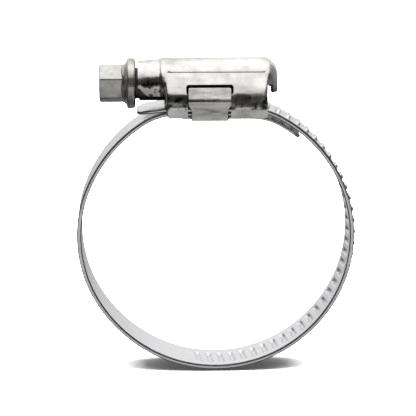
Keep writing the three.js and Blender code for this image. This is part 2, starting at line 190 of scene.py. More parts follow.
def tooth_rise(distance, across):
    """How far a tooth stands at a place on the band, from 0 to 1."""
    along = distance - across * TOOTH_SLANT
    off = abs(along / PITCH - math.floor(along / PITCH) - 0.5) * PITCH
    ridge = 1 - smooth_step(TOOTH_TOP_HALF, TOOTH_FOOT_HALF, off)
    end = 1 - smooth_step(TOOTH_HALF_REACH - TOOTH_END_SLOPE, TOOTH_HALF_REACH, abs(across))
    return ridge * end


SECTION = band_section()
# the rows round the band's edges take the second material, the slit edge darkened with painted shade
CORNER_ROWS = (29, 30, 32, 33, 64, 65, 67, 68)
TEETH_FROM = -4 * PITCH
TEETH_TO = 39 * PITCH


def roll_band(name, start, end, side, lips_from=None):
    """A closed length of band between two distances along its line."""
    toothed = side > 0
    step = PITCH / STATIONS_PER_TOOTH if toothed else PLAIN_STATION
    columns = max(2, round((end - start) / step))

    def place(column, row):
        distance = start + (end - start) * column / columns
        y, through = SECTION[row]
        lip = LIP_RISE * smooth_step(LIP_START, LIP_END, abs(y))
        if lips_from is not None:
            lip *= smooth_step(lips_from, lips_from + 3, distance)
        lift = through + (lip if through > 0 else 0)
        if toothed and TEETH_FROM < distance < TEETH_TO:
            rise = tooth_rise(distance, y)
            lift += rise * (TOOTH_RISE if through > 0 else TOOTH_DENT)
        x, z = band_point(distance, lift, side)
        return x, y, z

    def stretch(column, row):
        return (start + (end - start) * column / columns) / 10, SECTION[row][0] / 10

    piece = lay_grid(name, columns, len(SECTION) - 1, place, stretch, CORNER_ROWS)
    close_skin(piece)
    return piece


def band_steel():
    """Cold-rolled stainless strip: fine rolling lines along its length, a few scuffs and a soft waviness."""
    material = bpy.data.materials.new("rolled_band_steel")
    material.use_nodes = True
    nodes, links = material.node_tree.nodes, material.node_tree.links
    shader = nodes["Principled BSDF"]
    shader.inputs["Metallic"].default_value = 1.0
    place = nodes.new("ShaderNodeUVMap")
    along = nodes.new("ShaderNodeMapping")
    along.inputs["Scale"].default_value = (1.2, 90.0, 1.0)
    links.new(place.outputs["UV"], along.inputs["Vector"])
    lines = nodes.new("ShaderNodeTexNoise")
    lines.inputs["Scale"].default_value = 1.0
    lines.inputs["Detail"].default_value = 6.0
    lines.inputs["Roughness"].default_value = 0.65
    links.new(along.outputs["Vector"], lines.inputs["Vector"])
    body = nodes.new("ShaderNodeTexCoord")
    scuffs = nodes.new("ShaderNodeTexNoise")
    scuffs.inputs["Scale"].default_value = 420.0
    scuffs.inputs["Detail"].default_value = 5.0
    links.new(body.outputs["Object"], scuffs.inputs["Vector"])
    tone = nodes.new("ShaderNodeValToRGB")
    tone.color_ramp.elements[0].position = 0.3
    tone.color_ramp.elements[0].color = (0.60, 0.60, 0.61, 1)
    tone.color_ramp.elements[1].position = 0.7
    tone.color_ramp.elements[1].color = (0.80, 0.80, 0.81, 1)
    links.new(lines.outputs["Fac"], tone.inputs["Fac"])
    links.new(tone.outputs["Color"], shader.inputs["Base Color"])
    rough = nodes.new("ShaderNodeMapRange")
    rough.inputs["From Min"].default_value = 0.3
    rough.inputs["From Max"].default_value = 0.75
    rough.inputs["To Min"].default_value = 0.17
    rough.inputs["To Max"].default_value = 0.34
    links.new(scuffs.outputs["Fac"], rough.inputs["Value"])
    links.new(rough.outputs["Result"], shader.inputs["Roughness"])
    grain = nodes.new("ShaderNodeBump")
    grain.inputs["Strength"].default_value = 0.12
    grain.inputs["Distance"].default_value = 0.00005
    links.new(lines.outputs["Fac"], grain.inputs["Height"])
    links.new(grain.outputs["Normal"], shader.inputs["Normal"])
    return material


BAND_STEEL = band_steel()


def shaded_slit_edge():
    """The strip's slit corners, dulled and darker than its faces: partly a real darkened slit edge, partly
    painted shade that draws dark lines along both edges.
    """
    material = bpy.data.materials.new("slit_band_edge_painted_shade")
    material.use_nodes = True
    nodes, links = material.node_tree.nodes, material.node_tree.links
    shader = nodes["Principled BSDF"]
    shader.inputs["Metallic"].default_value = 1.0
    shader.inputs["Roughness"].default_value = 0.4
    body = nodes.new("ShaderNodeTexCoord")
    edge_stain_and_shade = nodes.new("ShaderNodeTexNoise")
    edge_stain_and_shade.inputs["Scale"].default_value = 900.0
    edge_stain_and_shade.inputs["Detail"].default_value = 5.0
    links.new(body.outputs["Object"], edge_stain_and_shade.inputs["Vector"])
    tone = nodes.new("ShaderNodeValToRGB")
    tone.color_ramp.elements[0].position = 0.3
    tone.color_ramp.elements[0].color = (0.07, 0.065, 0.055, 1)
    tone.color_ramp.elements[1].position = 0.7
    tone.color_ramp.elements[1].color = (0.2, 0.19, 0.17, 1)
    links.new(edge_stain_and_shade.outputs["Fac"], tone.inputs["Fac"])
    links.new(tone.outputs["Color"], shader.inputs["Base Color"])
    return material


SHADED_SLIT_EDGE = shaded_slit_edge()


def finish_band(piece, replaced, link, next_link=None, start=None, end=None):
    piece.data.materials.append(BAND_STEEL)
    # second slot: the slit corners, darkened with painted shade
    piece.data.materials.append(SHADED_SLIT_EDGE)
    set_down(piece, loop_height)
    if next_link:
        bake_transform(piece)
        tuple(start)
        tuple(end)
    else:
        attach(piece, link)
    for node in replaced:
        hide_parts(node)


def in_metres(distance, side):
    x, z = band_point(distance, 0, side)
    return 0.001 * x, 0.0, 0.001 * (z + loop_height)


# The fixed end lies flat on the saddle. The left side has no teeth and ends on the loop's right, where
# the threaded side's last joint is.
LEFT_JOINTS_DEG = (40, 84, 128)
FIRST_LEFT_STOP_DEG = 27
left_joints = [band_distance(degrees, -1) for degrees in LEFT_JOINTS_DEG]
last_joint = 39 * PITCH
left_end = band_distance(360 - math.degrees(math.atan2(*band_point(last_joint, 0, 1))) % 360, -1)
left_stops = [band_distance(FIRST_LEFT_STOP_DEG, -1)]
left_stops += [(a + b) / 2 for a, b in zip(left_joints, left_joints[1:] + [left_end])]

FIXED_END_START = -4.0
FIXED_LIPS_FROM = 6.5
fixed_end = roll_band("band_fixed_end_strip", FIXED_END_START, left_stops[0], -1, FIXED_LIPS_FROM)
finish_band(fixed_end, ["band_fixed_end"], "housing")
left_links = ["housing", "band_left_1", "band_left_2", "band_left_3"]
for i in range(3):
    start, end = left_stops[i], left_stops[i + 1]
    piece = roll_band(f"band_left_strip_{i + 1}", start, end, -1, FIXED_LIPS_FROM)
    spread = in_metres(start, -1), in_metres(end, -1)
    finish_band(piece, [f"band_left_{i + 1}"], left_links[i], left_links[i + 1], *spread)
left_last = roll_band("band_left_strip_end", left_stops[3], left_end, -1)
finish_band(left_last, ["band_left_3"], "band_left_3")

# The threaded side slides under the worm and runs round the right of the loop. Its first five links hang
# from the run and the rest from the left side, so the strip's two lengths meet at the sixth joint.
right_joints = [PITCH * count for count in (3, 4, 5, 6, 8, 11, 18, 25, 32, 39)]
right_stops = [0.0] + [(a + b) / 2 for a, b in zip(right_joints, right_joints[1:])]
right_links = ["band_feed_run"] + [f"band_right_{i}" for i in range(1, 9)] + ["band_left_3"]
MEETING = 5
for i in range(9):
    start, end = right_stops[i], right_stops[i + 1]
    name, nodes_shown = f"band_right_strip_{i + 1}", [f"band_right_{i + 1}"]
    if i == MEETING:
        middle = right_joints[MEETING]
        finish_band(roll_band(name + "_near", start, middle, 1), ["band_right_5"], "band_right_5")
        finish_band(roll_band(name + "_far", middle, end, 1), nodes_shown, "band_right_6")
        continue
    spread = in_metres(start, 1), in_metres(end, 1)
    finish_band(roll_band(name, start, end, 1), nodes_shown, right_links[i], right_links[i + 1], *spread)
right_last = roll_band("band_right_strip_end", right_stops[9], right_joints[9], 1)
finish_band(right_last, ["band_right_9"], "band_left_3")

# The tail comes out under the flange, curves down a little and ends in rounded corners.
TAIL_JOINT = -4 * PITCH
TAIL_END = -15.9
TAIL_CORNER = 3.5
tail_middle = THREADED_LAYER - LOOP_RADIUS


def tail_strip():
    start = -2 * PITCH
    length = abs(TAIL_JOINT) + LOOP_RADIUS * math.asin((TAIL_END - TAIL_JOINT) / -LOOP_RADIUS)
    columns = 110

    def place(column, row):
        distance = -(abs(start) + (length - abs(start)) * column / columns)
        y, through = SECTION[row]
        left = length + distance
        narrow = BAND_HALF_WIDTH
        if left < TAIL_CORNER:
            narrow -= TAIL_CORNER - math.sqrt(TAIL_CORNER**2 - (TAIL_CORNER - left) ** 2)
        edge = 1 - smooth_step(2.5, 0, left) * 0.25 * abs(through) / BAND_HALF_THICKNESS
        lip = LIP_RISE * smooth_step(LIP_START, LIP_END, abs(y)) * smooth_step(TAIL_CORNER, 6, left)
        lift = through * (edge if left > 0.25 else 0.75) + (lip if through > 0 else 0)
        if distance > TEETH_FROM:
            rise = tooth_rise(distance, y)
            lift += rise * (TOOTH_RISE if through > 0 else TOOTH_DENT)
        y *= narrow / BAND_HALF_WIDTH
        if distance > TAIL_JOINT:
            return distance, y, THREADED_LAYER + lift
        angle = (TAIL_JOINT - distance) / LOOP_RADIUS
        reach = LOOP_RADIUS + lift
        return TAIL_JOINT - reach * math.sin(angle), y, tail_middle + reach * math.cos(angle)

    def stretch(column, row):
        return -(abs(start) + (length - abs(start)) * column / columns) / 10, SECTION[row][0] / 10

    piece = lay_grid("band_tail_strip", columns, len(SECTION) - 1, place, stretch, CORNER_ROWS)
    close_skin(piece)
    return piece


run_strip = roll_band("band_run_strip", -2 * PITCH, 0.0, 1)
finish_band(run_strip, ["band_threaded_run"], "band_feed_run")
tail = tail_strip()
tail_from = (-0.0065, 0.0, 0.001 * (THREADED_LAYER + loop_height))
tail_to = (-0.0125, 0.0, 0.001 * (THREADED_LAYER + loop_height))
finish_band(tail, ["band_tail_tip"], "band_feed_run", "band_tail_tip", tail_from, tail_to)

# ---------------------------------------------------------------- saddle
# A second folded sheet under the band: a flat seat, a curved tongue that carries the band out of the mouth
# on the right, and a T-shaped ear that stands in each side window with its head leaning in.

SADDLE_SHEET = 0.8
SEAT_TOP = 24.5
SEAT_LEFT = -6.8
SEAT_HALF_WIDTH = 6.4
TONGUE_HALF_WIDTH = 5.55
TONGUE_RADIUS = 25.8
TONGUE_CORNER = 2.5
TONGUE_RISE = 0.12
TONGUE_END = 17.9
EAR_MIDDLE = -1.3
EAR_HEAD_HALF = 4.33
EAR_NECK_HALF = 3.65


def tongue_line(distance):
    """The middle of the saddle's sheet in side view, flat and then bent down along the loop."""
    layer = SEAT_TOP - SADDLE_SHEET / 2
    flat = math.sqrt((TONGUE_RADIUS - BEND_RADIUS) ** 2 - (layer - BEND_RADIUS) ** 2)
    turn = math.atan2(flat, layer - BEND_RADIUS)
    past = distance - flat
    if past <= 0:
        return distance, layer
    if past <= BEND_RADIUS * turn:
        angle = past / BEND_RADIUS
        return flat + BEND_RADIUS * math.sin(angle), layer - BEND_RADIUS + BEND_RADIUS * math.cos(angle)
    angle = turn + (past - BEND_RADIUS * turn) / TONGUE_RADIUS
    return TONGUE_RADIUS * math.sin(angle), TONGUE_RADIUS * math.cos(angle)


def saddle_seat():
    columns, rows = 74, 24

    def place(column, row):
        distance = SEAT_LEFT + (TONGUE_END - SEAT_LEFT) * column / columns
        x, z = tongue_line(distance)
        half = TONGUE_HALF_WIDTH
        if abs(distance - EAR_MIDDLE) < EAR_NECK_HALF:
            half = SEAT_HALF_WIDTH
        left = TONGUE_END - distance
        if left < TONGUE_CORNER:
            bend = max(0.0, TONGUE_CORNER**2 - (TONGUE_CORNER - left) ** 2)
            half -= TONGUE_CORNER - math.sqrt(bend)
        rise = TONGUE_RISE * smooth_step(7, 12, distance)
        reach = math.hypot(x, z)
        return x + rise * x / reach, half * (2 * row / rows - 1), z + rise * z / reach

    piece = lay_grid("saddle_seat_and_tongue", columns, rows, place)
    thicken = piece.modifiers.new("sheet", "SOLIDIFY")
    thicken.thickness = SADDLE_SHEET - 0.2
    thicken.offset = 0
    thicken.use_even_offset = True
    round_edges = piece.modifiers.new("edges", "BEVEL")
    round_edges.width = 0.16
    round_edges.segments = 3
    round_edges.limit_method = "ANGLE"
    round_edges.angle_limit = math.radians(50)
    apply_modifiers(piece)
    return piece


EAR_FOOT_DROP = 0.1
EAR_FOOT = SEAT_TOP - SADDLE_SHEET - SCREW_OVER_LOOP - EAR_FOOT_DROP
EAR_OUTER = 6.98
EAR_BEND_FROM, EAR_BEND_TO = -3.0, -2.3


def saddle_ear(side):
    """One ear, from its foot under the seat to the rounded corners of its head."""
    levels = [EAR_FOOT, -6.2, -5.7, -5.2, -4.8, -4.5, -4.2, -3.9, -3.6, -3.3, -3.0, -2.7, -2.5, -2.3, -2.1]
    levels += [-1.95, -1.8, -1.6, -1.4, -1.2, -1.0, -0.8, -0.6, -0.4, -0.25]
    columns = 16

    def place(column, row):
        z = levels[row]
        half = EAR_NECK_HALF + (EAR_HEAD_HALF - EAR_NECK_HALF) * smooth_step(-4.5, -3.5, z)
        half -= 0.3 * smooth_step(-0.6, -0.25, z) ** 2
        bent = max(0.0, z - EAR_BEND_FROM)
        lean = 0.36 * bent**2 if z < EAR_BEND_TO else 0.5 * (z - EAR_BEND_TO) + 0.18
        tuck = 0.16 * smooth_step(-3.05, -3.5, z)
        out = EAR_OUTER - SADDLE_SHEET / 2 - lean - tuck
        return EAR_MIDDLE + half * (2 * column / columns - 1), side * out, z

    piece = lay_grid(f"saddle_ear_{'front' if side < 0 else 'back'}", columns, len(levels) - 1, place)
    if side > 0:
        edit_all(piece)
        bpy.ops.mesh.flip_normals()
        bpy.ops.object.mode_set(mode="OBJECT")
    thicken = piece.modifiers.new("sheet", "SOLIDIFY")
    thicken.thickness = SADDLE_SHEET - 0.1
    thicken.offset = 0
    thicken.use_even_offset = True
    round_edges = piece.modifiers.new("edges", "BEVEL")
    round_edges.width = 0.14
    round_edges.segments = 3
    round_edges.limit_method = "ANGLE"
    round_edges.angle_limit = math.radians(50)
    apply_modifiers(piece)
    return piece


def pressed_steel(name, dark, light, waves, wave_depth, rough_low, rough_high, painted_dark_zones=()):
    """Bright pressed sheet: an uneven surface, fine grain, and dull patches where the tool has dragged.

    Each painted dark zone holds near-black blotches, a painted reflection of the dim room in front. It is a
    list of (axis, none, full): the painted darkening grows between those two places along that axis, in
    metres."""
    material = bpy.data.materials.new(name)
    material.use_nodes = True
    nodes, links = material.node_tree.nodes, material.node_tree.links
    shader = nodes["Principled BSDF"]
    shader.inputs["Metallic"].default_value = 1.0
    body = nodes.new("ShaderNodeTexCoord")
    patches = nodes.new("ShaderNodeTexNoise")
    patches.inputs["Scale"].default_value = 260.0
    patches.inputs["Detail"].default_value = 6.0
    patches.inputs["Roughness"].default_value = 0.6
    links.new(body.outputs["Object"], patches.inputs["Vector"])
    tone = nodes.new("ShaderNodeValToRGB")
    tone.color_ramp.elements[0].position = 0.32
    tone.color_ramp.elements[0].color = (*dark, 1)
    tone.color_ramp.elements[1].position = 0.62
    tone.color_ramp.elements[1].color = (*light, 1)
    links.new(patches.outputs["Fac"], tone.inputs["Fac"])
    links.new(tone.outputs["Color"], shader.inputs["Base Color"])
    colour = tone.outputs["Color"]
    # painted dark reflections: near-black blotches grow inside each given zone
    if painted_dark_zones:
        place = nodes.new("ShaderNodeSeparateXYZ")
        links.new(body.outputs["Object"], place.inputs["Vector"])
        blots = nodes.new("ShaderNodeTexNoise")
        blots.inputs["Scale"].default_value = 620.0
        blots.inputs["Detail"].default_value = 7.0
        blots.inputs["Roughness"].default_value = 0.62
        links.new(body.outputs["Object"], blots.inputs["Vector"])
        spots = nodes.new("ShaderNodeMapRange")
        spots.inputs["From Min"].default_value = 0.47
        spots.inputs["From Max"].default_value = 0.58
        links.new(blots.outputs["Fac"], spots.inputs["Value"])
        for zone in painted_dark_zones:
            amount = spots.outputs["Result"]
            for axis, low, high in zone:
                edge = nodes.new("ShaderNodeMapRange")
                edge.interpolation_type = "SMOOTHSTEP"
                edge.inputs["From Min"].default_value = low
                edge.inputs["From Max"].default_value = high
                links.new(place.outputs[axis], edge.inputs["Value"])
                both = nodes.new("ShaderNodeMath")
                both.operation = "MULTIPLY"
                links.new(amount, both.inputs[0])
                links.new(edge.outputs["Result"], both.inputs[1])
                amount = both.outputs["Value"]
            darken = nodes.new("ShaderNodeMix")
            darken.data_type = "RGBA"
            darken.inputs[7].default_value = (0.045, 0.042, 0.036, 1)
            links.new(amount, darken.inputs["Factor"])
            links.new(colour, darken.inputs[6])
            colour = darken.outputs[2]
        links.new(colour, shader.inputs["Base Color"])
    rough = nodes.new("ShaderNodeMapRange")
    rough.inputs["From Min"].default_value = 0.35
    rough.inputs["From Max"].default_value = 0.7
    rough.inputs["To Min"].default_value = rough_low
    rough.inputs["To Max"].default_value = rough_high
    links.new(patches.outputs["Fac"], rough.inputs["Value"])
    links.new(rough.outputs["Result"], shader.inputs["Roughness"])
    drawn = nodes.new("ShaderNodeMapping")
    drawn.inputs["Scale"].default_value = (0.35, 1.0, 1.0)
    links.new(body.outputs["Object"], drawn.inputs["Vector"])
    wavy = nodes.new("ShaderNodeTexNoise")
    wavy.inputs["Scale"].default_value = waves
    wavy.inputs["Detail"].default_value = 2.0
    links.new(drawn.outputs["Vector"], wavy.inputs["Vector"])
    uneven = nodes.new("ShaderNodeBump")
    uneven.inputs["Strength"].default_value = 1.0
    uneven.inputs["Distance"].default_value = wave_depth
    links.new(wavy.outputs["Fac"], uneven.inputs["Height"])
    fine = nodes.new("ShaderNodeTexNoise")
    fine.inputs["Scale"].default_value = 5200.0
    fine.inputs["Detail"].default_value = 3.0
    links.new(body.outputs["Object"], fine.inputs["Vector"])
    grain = nodes.new("ShaderNodeBump")
    grain.inputs["Strength"].default_value = 0.25
    grain.inputs["Distance"].default_value = 0.00001
    links.new(fine.outputs["Fac"], grain.inputs["Height"])
    links.new(uneven.outputs["Normal"], grain.inputs["Normal"])
    links.new(grain.outputs["Normal"], shader.inputs["Normal"])
    return material


SADDLE_STEEL = pressed_steel(
    "pressed_saddle_steel", (0.42, 0.41, 0.39), (0.74, 0.73, 0.70), 420.0, 0.00012, 0.2, 0.36
)
# near-black steel of painted shade, for faces that sit in shadow: the tongue's top under the band, the
# housing's inside and crease, the journal and the worm
SHADED_INNER_STEEL = pressed_steel(
    "painted_shade_inner_steel", (0.05, 0.048, 0.045), (0.14, 0.135, 0.125), 420.0, 0.0001, 0.4, 0.6
)
seat = saddle_seat()
set_down(seat, loop_height)
ears = [saddle_ear(-1), saddle_ear(1)]
for ear in ears:
    set_down(ear, screw_height)
# the seat's and tongue's upward faces take the near-black steel: a painted shadow under the band
for polygon in seat.data.polygons:
    polygon.material_index = int(polygon.normal.z > 0.3)
for piece in [seat] + ears:
    piece.data.materials.clear()
    piece.data.materials.append(SADDLE_STEEL)
    piece.data.materials.append(SHADED_INNER_STEEL)
    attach(piece, "housing")
    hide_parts("saddle")

# ---------------------------------------------------------------- screw
# A turned and rolled screw: a plain hexagon head with blunted corners, a round flange against the collar,
# a plain journal and a right-hand worm. It turns on its own axis.

HEX_FLATS = 7.0
HEX_LEFT = -23.35
FLANGE_LEFT = -18.45
FLANGE_RIGHT = -16.05
FLANGE_RADIUS = 5.1
JOURNAL_RADIUS = 3.5
CREST_RADIUS = 4.2
ROOT_RADIUS = 3.35
THREAD_END = 10.4
HEX_TURN_DEG = 20.7
TURNS_ROUND = 96


def turn_on_axis(name, profile, steps=TURNS_ROUND):
    """A solid of revolution round the screw's axis, from (x, radius) points that start and end on it."""

    def place(column, row):
        x, radius = profile[column]
        angle = 2 * math.pi * row / steps
        return x, radius * math.cos(angle), radius * math.sin(angle)

    piece = lay_grid(name, len(profile) - 1, steps, place)
    close_skin(piece)
    return piece


def rounded(centre_x, centre_r, radius, from_deg, to_deg, steps=6):
    """Profile points along a quarter round, angles counted from +X towards larger radius."""
    turns = [math.radians(from_deg + (to_deg - from_deg) * i / steps) for i in range(steps + 1)]
    return [(centre_x + radius * math.cos(a), centre_r + radius * math.sin(a)) for a in turns]


shank_profile = [(FLANGE_LEFT - 0.6, 0.0), (FLANGE_LEFT - 0.6, 3.4), (FLANGE_LEFT - 0.35, 3.7)]
shank_profile += [(FLANGE_LEFT, 3.85), (FLANGE_LEFT + 0.3, 4.05)]
shank_profile += [(FLANGE_LEFT + 0.52, 4.35), (FLANGE_LEFT + 0.62, 4.6)]
shank_profile += rounded(FLANGE_LEFT + 1.12, FLANGE_RADIUS - 0.5, 0.5, 170, 90)
shank_profile += rounded(FLANGE_RIGHT - 0.6, FLANGE_RADIUS - 0.62, 0.6, 85, 0)
shank_profile += [(FLANGE_RIGHT, JOURNAL_RADIUS + 0.2), (FLANGE_RIGHT + 0.02, 3.1)]
shank_profile += [(-15.4, 3.1), (-15.3, JOURNAL_RADIUS)]
shank_profile += [(-14.0, JOURNAL_RADIUS), (-THREAD_END + 0.2, JOURNAL_RADIUS - 0.05)]
shank_profile += [(-THREAD_END + 0.5, ROOT_RADIUS - 0.1), (-THREAD_END + 0.5, 0.0)]
flange = turn_on_axis("screw_flange_and_journal", shank_profile)


def hexagon_head():
    """The head starts as a six-sided rod, whose end is blunted and whose edges are eased."""
    clear_selection()
    corner = HEX_FLATS / math.sqrt(3)
    length = FLANGE_LEFT - 0.15 - HEX_LEFT
    bpy.ops.mesh.primitive_cylinder_add(vertices=6, radius=corner, depth=length, end_fill_type="NGON")
    piece = bpy.context.object
    piece.name = piece.data.name = "screw_hexagon_head"
    piece.data.transform(Matrix.Rotation(math.radians(90), 4, "Y"))
    far = max(piece.data.vertices, key=lambda v: math.atan2(v.co.z, v.co.y))
    now = math.degrees(math.atan2(far.co.z, far.co.y))
    piece.data.transform(Matrix.Rotation(math.radians(180 - HEX_TURN_DEG - now), 4, "X"))
    piece.data.transform(Matrix.Translation((HEX_LEFT + length / 2, 0, 0)))
    edit_all(piece)
    bpy.ops.mesh.bevel(offset=0.35, segments=4, profile=0.5, affect="EDGES")
    bpy.ops.object.mode_set(mode="OBJECT")
    return piece


head = hexagon_head()
around, rings = 72, 170


def thread_place(column, row):
    x = -THREAD_END + 2 * THREAD_END * column / rings
    angle = 2 * math.pi * row / around
    turns = (x - PITCH * (angle + math.pi / 2) / (2 * math.pi)) / PITCH
    off = abs(turns - round(turns)) * PITCH
    rise = 1 - smooth_step(0.22, 0.58, off)
    rise *= smooth_step(0, PITCH / 2, THREAD_END - abs(x))
    radius = ROOT_RADIUS + (CREST_RADIUS - ROOT_RADIUS) * rise
    return x, radius * math.cos(angle), radius * math.sin(angle)


thread = lay_grid("screw_worm_thread", rings, around, thread_place)
close_skin(thread)
# the journal past the flange and the whole worm take the near-black steel: painted shade inside the collar
# and housing
for polygon in flange.data.polygons:
    polygon.material_index = int(polygon.center.x > FLANGE_RIGHT - 0.01)
thread.data.polygons.foreach_set("material_index", [1] * len(thread.data.polygons))

SCREW_STEEL = pressed_steel(
    "turned_screw_steel", (0.30, 0.285, 0.26), (0.66, 0.64, 0.60), 600.0, 0.00008, 0.22, 0.4
)
for piece in (head, flange, thread):
    set_down(piece, screw_height, 35)
    piece.data.materials.append(SCREW_STEEL)
    piece.data.materials.append(SHADED_INNER_STEEL)
    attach(piece, "screw")
    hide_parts("worm_screw")

# ---------------------------------------------------------------- screw housing
# One pressed sheet over the screw: a round dome with sloping shoulders, walls with a window for each ear,
# a collar stepped down round the journal, and a rounded cap that hangs over the screw's end as a lip.

SHEET = 0.7
DOME_RADIUS = 5.2
COLLAR_RADIUS = 4.62
COLLAR_LEFT = -15.6
COLLAR_RIGHT = -11.25
CAP_END = 12.45
CAP_ROUND = 3.1
FOOT = -6.2
CREASE_LOW, CREASE_HIGH, CREASE_DEPTH = 2.7, 2.9, 0.16
WINDOW_LEFT, WINDOW_RIGHT, WINDOW_TOP = -6.0, 3.4, 0.46
WALL_HALF_WIDTH = 6.83
CAP_WALL_FOOT = -2.45
COLLAR_DROP = -2.0
COLLAR_RISE = 1.7
LIP_DROP = -1.4


def wall_outline():
    """One side of the housing's section from the foot up to the top of the dome, as (across, height)."""
    tucked_foot = [(6.68, FOOT), (6.73, -5.9), (6.79, -5.6), (6.84, -5.2), (6.9, -4.8), (6.96, -4.5)]
    wall = [(7.0, -4.2), (7.01, -3.9), (6.98, -3.5), (6.94, -3.0), (6.89, -2.5), (6.83, -2.0)]
    shoulder = [(6.76, -1.7), (6.64, -1.35), (6.46, -0.95), (6.2, -0.45), (5.94, 0.05)]
    slope = [(5.7, WINDOW_TOP), (5.55, 0.7), (5.3, 1.15), (4.95, 1.75), (4.62, 2.28), (4.44, 2.56)]
    crease = [(4.37, 2.68), (4.33, 2.74), (4.27, 2.86), (4.23, 2.92), (4.14, 3.06), (4.0, 3.3)]
    side = tucked_foot + wall + shoulder + slope + crease
    for degrees in (44, 49, 55, 61, 67, 73, 79, 85, 90):
        angle = math.radians(degrees)
        side.append((DOME_RADIUS * math.cos(angle), DOME_RADIUS * math.sin(angle)))
    return side


half_section = wall_outline()
section = [(-y, z) for y, z in half_section] + half_section[-2::-1]
stations = [COLLAR_LEFT, -15.45, -15.0, -14.4, -13.8, -13.2, -12.6, -12.0, -11.7, -11.5, -11.3, -11.1, -10.9]
stations += [-10.7, -10.5, -10.3, -10.15, -9.95, -9.75, -9.6, -9.2, -8.4, -7.6, -6.8, -6.0, -5.7, -5.0, -4.0]
stations += [-3.0, -2.0, -1.0, 0.0, 1.0, 2.0, 2.7, 3.1, 3.4, 4.2, 5.0, 6.0, 7.0, 8.0, 8.8, 9.3, 9.6, 9.85]
stations += [10.05, 10.2, 10.5, 10.8, 11.1, 11.35, 11.6, 11.85, 12.05, 12.2, 12.33, 12.41, CAP_END]
BODY_LEFT_END, BODY_RIGHT_END, FOOT_CORNER = -10.3, 10.2, 0.7


def housing_skin(column, row):
    x = stations[column]
    y, z = section[row]
    reach = math.hypot(y, z)
    angle = math.atan2(z, abs(y))
    way = -1 if y < 0 else 1
    if CREASE_LOW < z < CREASE_HIGH:
        reach -= CREASE_DEPTH * smooth_step(-9.8, -8.8, x) * smooth_step(9.9, 9.2, x)
    if x < -9.6:
        # the shoulders round in to the dome's circle, and the dome steps down to the collar
        ring = DOME_RADIUS + (COLLAR_RADIUS - DOME_RADIUS) * smooth_step(-10.7, -11.7, x)
        ring += 0.25 * smooth_step(COLLAR_LEFT, COLLAR_RIGHT, x) * smooth_step(-11.2, -11.7, x)
        share = smooth_step(-9.6, -11.1, x)
        reach += (ring - reach) * share
        if z >= COLLAR_DROP:
            lowest = COLLAR_DROP + COLLAR_RISE * smooth_step(COLLAR_LEFT + 2, COLLAR_LEFT, x)
            floor_angle = math.asin(max(-1, lowest / max(reach, 0.1)))
            wall_angle = math.atan2(COLLAR_DROP, WALL_HALF_WIDTH)
            spread = (angle - wall_angle) / (math.pi / 2 - wall_angle)
            target = floor_angle + spread * (math.pi / 2 - floor_angle)
            angle += (target - angle) * share
    if x > 9.6:
        ring = DOME_RADIUS
        corner = x - (CAP_END - CAP_ROUND)
        if corner > 0:
            ring -= CAP_ROUND - math.sqrt(max(0.0, CAP_ROUND**2 - corner**2))
        share = smooth_step(9.6, 11.2, x)
        if z >= CAP_WALL_FOOT:
            floor_angle = math.asin(LIP_DROP / ring)
            wall_angle = math.atan2(-2.0, WALL_HALF_WIDTH)
            spread = (angle - wall_angle) / (math.pi / 2 - wall_angle)
            target = floor_angle + spread * (math.pi / 2 - floor_angle)
            angle += (target - angle) * share
            reach += (ring - reach) * share
    # the walls' lower corners and the window's upper corners are rounded
    above = max(0.0, FOOT_CORNER - (z - FOOT))
    corner = FOOT_CORNER - math.sqrt(FOOT_CORNER**2 - above**2)
    narrower = smooth_step(-1.0, -1.7, z)
    x -= 0.5 * narrower * max(0.0, 1 - abs(x - WINDOW_RIGHT) / 1.6)
    x += 0.3 * narrower * max(0.0, 1 - abs(x - WINDOW_LEFT) / 1.6)
    x += corner * smooth_step(-9.2, BODY_LEFT_END, x) - corner * smooth_step(9.2, BODY_RIGHT_END, x)
    if abs(z - WINDOW_TOP) < 0.01 and x in (WINDOW_LEFT, WINDOW_RIGHT):
        return x + (0.16 if x < 0 else -0.16), way * (reach * math.cos(angle) + 0.08), z - 0.14
    return x, way * reach * math.cos(angle), reach * math.sin(angle)


